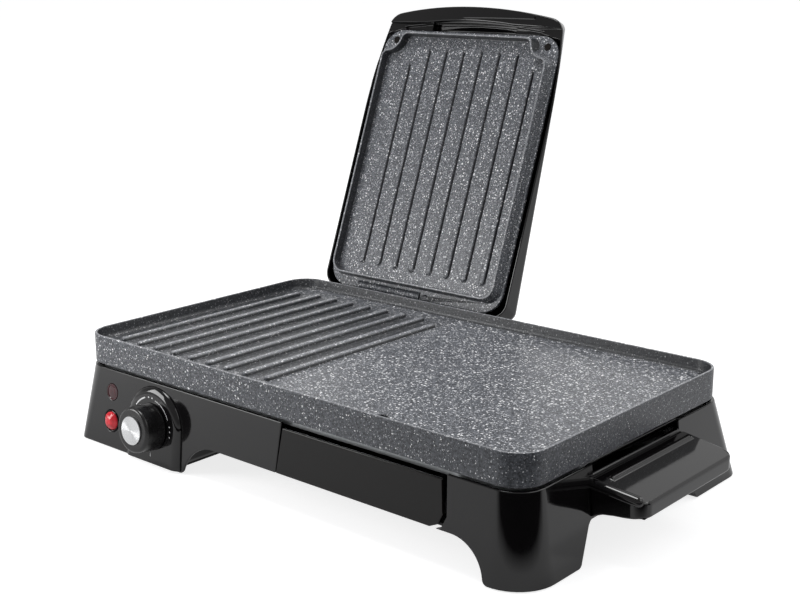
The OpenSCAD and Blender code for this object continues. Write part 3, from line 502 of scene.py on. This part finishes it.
# The plate is screwed to the housing from below with zinc-plated screws. Thin bright zinc over
# rolled steel: slightly blue-grey, with streaks of the plating bath about 6 mm wide.
zinc = mottled("zinc_plated_steel", "#b4b6b8", 0.34, 160.0, 4.0, tones=("#a3a6aa", "#c6c7c6"),
               dulled=(0.26, 0.44), Metallic=1.0)
for node in ("plate_screws", "cover_screws", "hinge_screws", "thermostat_nut", "hinge_pins",
             "lower_clamps", "upper_clamps", "drawer_runners", "thermostat_shaft"):
    give(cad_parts[node], zinc)

# ---------------------------------------------------------------- covers and feet
# Two flat closing covers of matt black polypropylene below, and four rubber pads let into the
# legs. The cord's inlet is a gland of the same rubber.

# Etched polypropylene: a matt skin with a grain of 0.7 mm, polished in patches by handling.
polypropylene = moulded_plastic("etched_polypropylene", "#161616", 0.55,
                                relief=(1400.0, 2.0, 0.3, 0.0002),
                                polish=(40.0, 0.3, 0.7, 0.46, 0.64))
for node in ("control_cover", "bottom_cover"):
    give(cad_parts[node], polypropylene)

# Moulded nitrile rubber: dull black, with a dusty bloom and shallow pits 3 mm apart.
nitrile = mottled("moulded_nitrile_rubber", "#1b1b1a", 0.78, 300.0, 4.0,
                  tones=("#121212", "#2a2a29"), relief=(0.2, 0.0002))
for node in ("rubber_feet", "cord_gland"):
    give(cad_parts[node], nitrile)

# ---------------------------------------------------------------- lower heater and its pan
# A steel-sheathed heater tube pressed against the plate, over a pan of aluminised steel that
# throws its heat back up.

# Heat-browned steel: the tube's oxide shifts between grey and straw every 20 mm or so.
sheath = mottled("heat_browned_steel_tube", "#6a5f58", 0.42, 55.0, 4.0,
                 tones=("#4a4648", "#8a7560"), dulled=(0.34, 0.55), Metallic=1.0)
for node in ("lower_element", "upper_element"):
    give(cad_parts[node], sheath)

# Aluminised sheet: a pale metal skin with the crystal spangle of hot dipping, 4 mm across.
aluminised, tree, shader = new_finish("aluminised_steel_sheet", "#b9bcbe", 0.35, Metallic=1.0)
place = add(tree, "TexCoord").outputs["Object"]
spangle = add(tree, "TexVoronoi", {"Vector": place, "Scale": 250.0}).outputs["Distance"]
facet = add(tree, "MapRange", {"Value": spangle, "From Max": 0.8, "To Min": 0.28,
                               "To Max": 0.46})
shade = add(tree, "Mix", {0: spangle, 6: linear("#c2c5c7"), 7: linear("#a4a7a9")},
            data_type="RGBA")
fill(tree, shader, {"Roughness": facet, "Base Color": shade.outputs[2]})
give(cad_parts["reflector_pan"], aluminised)

# ---------------------------------------------------------------- knob boss and dial
# The raised boss round the knob is moulded with the housing in gloss ABS, rounded off all round.
# Its dial is pad printed in white: a tick, a thick arc, a thin arc and dots for the heat settings.
# mm: how far out the housing's front face would meet the table, and how far it leans back in 70
front_out, front_run, front_h = 143.6, 6.4, 70
front_lean = math.atan(front_run / front_h)


def on_front(x, v):
    """From mm over the front face, out along Z, to the face's place on the grill."""
    z = v * math.cos(front_lean)
    y = -(front_out - front_run * z / front_h)
    return (Matrix.Translation((x / 1000, y / 1000, z / 1000))
            @ Matrix.Rotation(math.pi / 2 - front_lean, 4, "X") @ Matrix.Scale(0.001, 4))


def set_in(piece, matrix):
    """Puts a piece's mesh in its place and leaves the object at the origin."""
    piece.data.transform(matrix @ piece.matrix_world)
    piece.matrix_world = Matrix()


def lift(height):
    """Moves what is selected up by this much."""
    bpy.ops.transform.translate(value=(0, 0, height))


def cut_out(piece, cutter):
    """Cuts one shape out of a piece, and removes the cutter."""
    pick(piece)
    cut = piece.modifiers.new("cut_out", "BOOLEAN")
    cut.object = cutter
    bpy.ops.object.modifier_apply(modifier=cut.name)
    bpy.data.objects.remove(cutter)


# mm: the knob's middle on the face and the bore for its shaft; then the height, radius and soft
# edge of the boss, and its foot above the lower edge of the face
knob_x, knob_v, knob_bore = -138, 34, 5.1
boss_h, boss_r, boss_soft, boss_foot = 4.5, 33.5, 7.5, 2.5
boss = start_from(bpy.ops.mesh.primitive_circle_add, "knob_boss", vertices=120, radius=boss_r,
                  fill_type="NGON")
edit(boss)
select_all()
bpy.ops.mesh.bisect(plane_co=(0, 0, 0), plane_no=(0, 1, 0), use_fill=False, clear_inner=True)
close()
# the straight sides run down past the lower edge of the housing's front, where they are cut off
past_edge = 12
edit(boss, "EDGE", lambda start, end: abs(start.y) < 0.01 and abs(end.y) < 0.01)
bpy.ops.mesh.extrude_region_move(TRANSFORM_OT_translate={"value": (0, -knob_v - past_edge, 0)})
select_all()
bpy.ops.mesh.dissolve_limited(angle_limit=math.radians(1))
select_all()
# its edge is a quarter of an ellipse, wider than it is high, drawn in steps
steps = 9
bpy.ops.mesh.extrude_region_move(TRANSFORM_OT_translate={"value": (0, 0, 0.001)})
for step in range(steps):
    turn, next_turn = (math.pi / 2 * n / steps for n in (step, step + 1))
    bpy.ops.mesh.inset(thickness=boss_soft * (math.cos(turn) - math.cos(next_turn)))
    lift(boss_h * (math.sin(next_turn) - math.sin(turn)))
select_all()
bpy.ops.mesh.bisect(plane_co=(0, boss_foot - knob_v, 0), plane_no=(0, -1, 0), use_fill=True,
                    clear_outer=True)
select_all()
bpy.ops.mesh.remove_doubles(threshold=0.0005)
bpy.ops.mesh.normals_make_consistent(inside=False)
close()
bore = start_from(bpy.ops.mesh.primitive_cylinder_add, "shaft_bore", vertices=48,
                  radius=knob_bore, depth=20)
cut_out(boss, bore)
smooth(40)
set_in(boss, on_front(knob_x, knob_v) @ Matrix.Translation((0, 0, 0.02)))
stands_for(boss, "control_bezel", "root", abs_gloss)

# Pad-printing ink: flat white, a few hundredths of a mm thick, uneven every half millimetre.
ink = mottled("pad_printed_white_ink", "#e9e9ea", 0.45, 1800.0, 2.0,
              tones=("#d4d4d6", "#f4f4f4"))
ink_h = 0.04

# start angle, end angle, radius, width of each printed stroke; dots and the tick are short ones
strokes = [(110, 143, 24.6, 1.1), (97.6, 100.6, 24.6, 1.3), (87.2, 90.2, 24.3, 1.3),
           (25, 79, 23.2, 0.5), (9.6, 12.4, 23.8, 1.2), (-0.6, 2.2, 23.9, 1.2),
           (-11.4, -8.6, 24.2, 1.2), (-90.2, -88.8, 24.3, 3.0)]
marks = []
for start_angle, end_angle, radius, width in strokes:
    mark = start_from(bpy.ops.mesh.primitive_plane_add, "dial_print", size=1)
    turn = Matrix.Rotation(math.radians(start_angle), 4, "Z")
    mark.data.transform(turn @ Matrix.Translation((radius, 0, 0))
                        @ Matrix.Diagonal((width, 0.02, 1, 1)))
    # one edge is left of the plane, and it is spun into the stroke
    edit(mark, "VERT", lambda p: (turn.inverted() @ p).y < 0)
    bpy.ops.mesh.delete(type="VERT")
    select_all()
    sweep = end_angle - start_angle
    bpy.ops.mesh.spin(steps=max(2, int(sweep / 2.5)), angle=math.radians(sweep),
                      center=(0, 0, 0), axis=(0, 0, -1))
    select_all()
    bpy.ops.mesh.remove_doubles(threshold=0.001)
    bpy.ops.mesh.normals_make_consistent(inside=False)
    bpy.ops.mesh.extrude_region_move(TRANSFORM_OT_translate={"value": (0, 0, ink_h)})
    select_all()
    bpy.ops.mesh.normals_make_consistent(inside=False)
    close()
    marks.append(mark)
bpy.ops.object.select_all(action="DESELECT")
for mark in marks:
    mark.select_set(True)
bpy.context.view_layer.objects.active = marks[0]
bpy.ops.object.join()
dial = bpy.context.object
set_in(dial, on_front(knob_x, knob_v) @ Matrix.Translation((0, 0, boss_h + 0.02)))
belongs(dial, "root", ink)

# ---------------------------------------------------------------- knob
# A hollow knob of satin ABS pushed on to the thermostat's flatted shaft, slightly tapered, with a
# rounded front edge and a disc of turned aluminium glued into its face.

# Satin ABS: black with an etch of 0.7 mm, rubbed glossier in patches where fingers turn it.
satin_abs = moulded_plastic("satin_moulded_abs", "#0e0d0e", 0.24,
                            relief=(1500.0, 2.0, 0.15, 0.0001),
                            polish=(90.0, 0.3, 0.7, 0.2, 0.3))

# mm: gap under the knob, its length, and a radius between its hollow and its outer edge
knob_gap, knob_l, wall_inner_r = 0.8, 19, 15
knob_end = boss_h + knob_gap + knob_l
off_front = on_front(knob_x, knob_v).inverted()
knob = cast_from("knob", "heat_knob")
round_edges(knob, 0.0026, 6, lambda p: abs((off_front @ p).z - knob_end) < 0.1
            and (off_front @ p).xy.length > wall_inner_r)
mould_edges(knob, 0.0004)
stands_for(knob, "knob", "knob", satin_abs)

# Turned aluminium: a lathe-cut face with rings about 0.2 mm apart, drawn at 0.5 mm so that they
# show. The rings run round the disc, so light fans out across it in two opposite wedges.
ring_pitch = 0.5
turned_face, tree, shader = new_finish("face_turned_aluminium", "#d6d7d8", 0.28, Metallic=1.0,
                                       Anisotropic=0.9)
lathe = add(tree, "SeparateXYZ", {0: add(tree, "UVMap", uv_map="lathe")})
rings = add(tree, "Math", {0: lathe.outputs["Y"], 1: 2 * math.pi / ring_pitch},
            operation="MULTIPLY")
wavy = add(tree, "Math", {0: rings}, operation="SINE")
cut = add(tree, "MapRange", {"Value": wavy, "From Min": -1.0, "To Min": 0.22, "To Max": 0.36})
along = add(tree, "Tangent", direction_type="UV_MAP", uv_map="lathe")
fill(tree, shader, {"Roughness": cut, "Tangent": along})

# The disc has a plain wall, a chamfer, and a flat face drawn in rings that carry the lathe's map.
# mm: radius, height of the wall, chamfer, how deep it sits in the knob
disc_r, disc_wall, disc_chamfer, disc_sunk = 12, 2.1, 0.4, 1
disc = start_from(bpy.ops.mesh.primitive_circle_add, "knob_disc", vertices=96, radius=disc_r,
                  fill_type="TRIFAN")
edit(disc)
select_all()
bpy.ops.mesh.extrude_region_move(TRANSFORM_OT_translate={"value": (0, 0, disc_wall)})
bpy.ops.mesh.inset(thickness=disc_chamfer)
lift(disc_chamfer)
for ring in (3.5, 3.5, 3.0):
    bpy.ops.mesh.inset(thickness=ring)
select_all()
bpy.ops.mesh.normals_make_consistent(inside=False)
close()
# the lathe map holds the turn about the middle and the distance from it in mm
rings_uv = disc.data.uv_layers[0] if disc.data.uv_layers else disc.data.uv_layers.new(name="lathe")
rings_uv.name = "lathe"
for face in disc.data.polygons:
    face_turn = math.atan2(face.center.y, face.center.x)
    for loop in face.loop_indices:
        point = disc.data.vertices[disc.data.loops[loop].vertex_index].co
        away = math.hypot(point.x, point.y)
        turn = math.atan2(point.y, point.x) if away > 0.01 else face_turn
        turn += 2 * math.pi * round((face_turn - turn) / (2 * math.pi))
        rings_uv.data[loop].uv = (turn * 2, away)
smooth(30)
set_in(disc, on_front(knob_x, knob_v) @ Matrix.Translation((0, 0, knob_end - disc_sunk)))
stands_for(disc, "knob_cap", "knob", turned_face)

# ---------------------------------------------------------------- indicator lenses
# Two red polycarbonate lenses over small neon lamps. The lower one stands out of its recess as a
# pillow with four facets; the upper one is flush and unlit, so it looks nearly black.
lamp_x, upper_v, lower_v = -195.8, 50.7, 25.2


def lens_finish(name, colour, glow, strength):
    """Clear-dyed polycarbonate, with the lamp's light uneven inside it about every 5 mm."""
    made, tree, shader = new_finish(name, colour, 0.08, Emission_Color=linear(glow))
    place = add(tree, "TexCoord").outputs["Object"]
    inside = add(tree, "TexNoise", {"Vector": place, "Scale": 180.0, "Detail": 1.0})
    light = add(tree, "MapRange", {"Value": inside, "From Min": 0.3, "From Max": 0.7,
                                   "To Min": strength * 0.4, "To Max": strength})
    deep = add(tree, "Mix", {0: inside, 6: linear(colour), 7: linear(glow)}, data_type="RGBA")
    fill(tree, shader, {"Emission Strength": light, "Base Color": deep.outputs[2]})
    return made


def start_round(name, radius, depth, top, points=48):
    """A short cylinder in mm with its top at this height, opened with the top face selected."""
    piece = start_from(bpy.ops.mesh.primitive_cylinder_add, name, vertices=points, radius=radius,
                       depth=depth, location=(0, 0, top - depth / 2))
    edit(piece, "FACE", lambda *corners: min(corner.z for corner in corners) > 0)
    return piece


def step_in(*steps):
    """Insets the selected face step by step, each so wide and then so high."""
    for width, height in steps:
        bpy.ops.mesh.inset(thickness=width)
        if height:
            lift(height)


# Dyed polycarbonate: a clear wet-looking red, lit from inside, or nearly black over a dark lamp.
bright_red = lens_finish("dyed_polycarbonate_lit", "#8e0d16", "#dc2c38", 0.2)
dark_red = lens_finish("dyed_polycarbonate_unlit", "#1c070a", "#4e141e", 0.0)

# The lower lens stands in a black moulded collar, sunk in the housing.
collar = start_round("lens_collar", radius=8.75, depth=1.6, top=0.2, points=64)
step_in((0.25, 0.15), (0.75, -1.2))
close()
smooth(35)
set_in(collar, on_front(lamp_x, lower_v))
belongs(collar, "root", abs_gloss)

# A faceted pillow: a disc raised in steps, its middle drawn up to a ridge that splits it in four.
pillow = start_round("lower_pillow_lens", radius=7.7, depth=2.4, top=1.0)
step_in((0.8, 1.2), (2.0, 1.5), (2.1, 0.9), (2.3, 0.35))
close()
edit(pillow)
select_all()
for flat in ((1, 0, 0), (0, 1, 0)):
    bpy.ops.mesh.bisect(plane_co=(0, 0, 0), plane_no=flat)
    select_all()
close()
# the four facets meet in shallow valleys 10 mm wide
shoulder, valley_half, valley_depth = 1.1, 5, 0.55
for point in pillow.data.vertices:
    if point.co.z > shoulder:
        near = 1 - min(abs(point.co.x), abs(point.co.y)) / valley_half
        point.co.z -= valley_depth * max(0, near)
pick(pillow)
smooth(12)
set_in(pillow, on_front(lamp_x, lower_v))
stands_for(pillow, "lower_lens", "root", bright_red)

# The flush lens is a shallow dished disc with a raised ring at its edge.
flush = start_round("upper_flush_lens", radius=7, depth=10, top=0.15)
step_in((0.7, 0), (0.3, -0.5), (2.5, 0.35), (2.0, 0))
close()
smooth(25)
set_in(flush, on_front(lamp_x, upper_v))
stands_for(flush, "upper_lens", "root", dark_red)

# ---------------------------------------------------------------- inside the control compartment
# The neon lamps, the capillary thermostat in its phenolic body, the steatite terminal block and
# the silicone-sleeved leads, all fixed behind the front face.

# Blown glass: clear, faintly warm, with waves 3 mm long. Phenolic: brown, streaked as it flowed.
# Pressed steatite: matt cream and powdery. Silicone sleeve: dull red with a dusting of talc.
neon_glass = mottled("blown_glass_neon_bulb", "#f0d8bc", 0.05, 350.0, 2.0, relief=(0.15, 0.0002),
                     Transmission_Weight=0.7)
phenolic = mottled("compression_moulded_phenolic", "#6b5236", 0.5, 240.0, 4.0,
                   tones=("#58412a", "#806446"), distortion=1.5)
steatite = mottled("pressed_steatite", "#d2ccc0", 0.6, 900.0, 3.0, tones=("#c6bfb1", "#ded9ce"),
                   relief=(0.2, 0.0002))
silicone = mottled("extruded_silicone_sleeve", "#a12420", 0.5, 700.0, 2.0,
                   tones=("#8c1d1a", "#b83a33"))
for node, finish in (("neon_lamps", neon_glass), ("thermostat", phenolic),
                     ("terminal_block", steatite), ("internal_wires", silicone)):
    give(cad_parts[node], finish)

# ---------------------------------------------------------------- drip drawer
# A gloss ABS front clipped to a tray of matt polypropylene, which slides on two steel runners under
# the plate. The front has rounded moulded edges and stands a little inside the housing's face.

# The same ABS as the housing's, with a stronger wave and a duller, browner gloss.
# That browner tone and weaker, duller gloss are painted shade: a dimmer reflection of darker
# surroundings.
drawer_abs_shaded = moulded_plastic("moulded_gloss_abs_drawer_shaded", "#0b0908", 0.12,
                             relief=(22.0, 1.0, 0.2, 0.0005),
                             polish=(260.0, 0.35, 0.75, 0.08, 0.18), Specular_IOR_Level=0.3)
front = cast_from("drawer_front", "drawer_face")
mould_edges(front, 0.0009, 3)
stands_for(front, "drawer_front", "drawer", drawer_abs_shaded)
give(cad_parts["drip_tray"], polypropylene)

# ---------------------------------------------------------------- hinges
# Two brackets on the rear of the housing and two arms on the lid, moulded in black polypropylene
# and turning on riveted steel pins, with a stop that the raised lid leans on.
for node, name, body in (("hinge_brackets", "hinge_ears", "root"),
                         ("hinge_arms", "lid_arms", "lid")):
    hinge = cast_from(node, name)
    mould_edges(hinge, 0.0007)
    stands_for(hinge, node, body, polypropylene)

# ---------------------------------------------------------------- lid plate
# The upper griddle, die-cast and coated like the lower one. It hangs in the lid on two black screws
# at its front tabs; its thin rim is drawn in round them.
hinge_place = Vector((0, 0.1478, 0.0847))
lid_turn = math.radians(110.5)
# mm above the table with the lid closed: crown of the ribs. m: height above which the ribs lie
# with the lid raised, the bar by the hinge being lower
lid_rib_crown, ribs_from = 98, 0.11
# m: far left of the plate, so that no part of its floor is shaded
no_shading_rib = -1


def lid_depth(p):
    """A point's height in mm above the table when the lid is closed."""
    out = p - hinge_place
    return 1000 * (hinge_place.z + out.y * math.sin(lid_turn) + out.z * math.cos(lid_turn))


# steep faces are painted in shade, down to 0.8 of their tone at the right end
lid_stone = stone_coat("sprayed_stone_nonstick_lid",
                       faced=(0, -math.sin(lid_turn), -math.cos(lid_turn)), size=0.6,
                       middle=(-0.1195, 0.2092, 0.2195), reach_x=0.086, rim_rise=0.004,
                       fleck_tones=("#7e8085", "#b4b6ba", "#f4f4f5"), right_end_shade=0.8,
                       last_rib=no_shading_rib)
upper = cast_from("lid_plate", "lid_griddle")
round_edges(upper, 0.0021, 5, lambda p: abs(lid_depth(p) - lid_rib_crown) < 0.05
            and p.z > ribs_from)
mould_edges(upper, 0.0007, 2, 35)
stands_for(upper, "lid_plate", "lid", lid_stone)

# Black-oxide steel: a thin dark brown-black film, a little uneven every 2 mm where it was oiled.
black_oxide = mottled("black_oxide_steel", "#2a2827", 0.4, 500.0, 3.0, dulled=(0.32, 0.5),
                      Metallic=1.0)
give(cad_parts["lid_screws"], black_oxide)

# ---------------------------------------------------------------- lid cover and grip
# The domed back of the lid and the bowed grip along its front edge, in the housing's gloss ABS.
# The grip is welded on, with a moulded groove across its face and a finger pocket under it.
cover = cast_from("lid_cover", "lid_shell")
mould_edges(cover, 0.0008, 3, 32)
stands_for(cover, "lid_cover", "lid", abs_gloss)
lip = cast_from("lid_handle", "lid_grip")
mould_edges(lip, 0.0014, 3, 32)

# The groove is cut along the face, which is bowed across the grip.
# mm, with the lid closed: the groove's size, its middle, its slant, and the face's height there
groove_l, groove_w, groove_d = 82, 2.4, 1.3
groove_x, groove_y, groove_slant, face_z = -84.5, -145.4, 0.027, 91
# mm: the grip's middle, half its length, and how far its face bows
grip_x, grip_half, bow_rise = -119.5, 115, 9
bow_r = (grip_half ** 2 + bow_rise ** 2) / (2 * bow_rise)
cutter = start_from(bpy.ops.mesh.primitive_cube_add, "groove_cutter", size=1)
cutter.data.transform(Matrix.Diagonal((groove_l, groove_w, 2 * groove_d, 1)))
edit(cutter, "EDGE")
select_all()
bpy.ops.mesh.subdivide(number_cuts=15)
close()
for point in cutter.data.vertices:
    x = groove_x + point.co.x
    fall = bow_r - math.sqrt(bow_r ** 2 - (x - grip_x) ** 2)
    point.co = (x, point.co.y + groove_y - point.co.x * groove_slant, point.co.z + face_z + fall)
cutter.data.transform(Matrix.Translation(hinge_place) @ Matrix.Rotation(-lid_turn, 4, "X")
                      @ Matrix.Translation(-hinge_place) @ Matrix.Scale(0.001, 4))
cut_out(lip, cutter)
bpy.ops.mesh.customdata_custom_splitnormals_clear()
even_shading(lip)
stands_for(lip, "lid_handle", "lid", abs_gloss)

# ---------------------------------------------------------------- inside the lid
# The upper heater's straps are the zinc-plated ones above. A sheet of pressed mineral fibre keeps
# the heat off the cover: a soft, dull grey-cream felt whose fibres lie in all directions.
fibre = mottled("pressed_mineral_fibre", "#a8a294", 0.9, 800.0, 5.0, tones=("#948d7d", "#c3beb2"),
                relief=(0.5, 0.0004), distortion=2.0)
give(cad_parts["lid_insulation"], fibre)
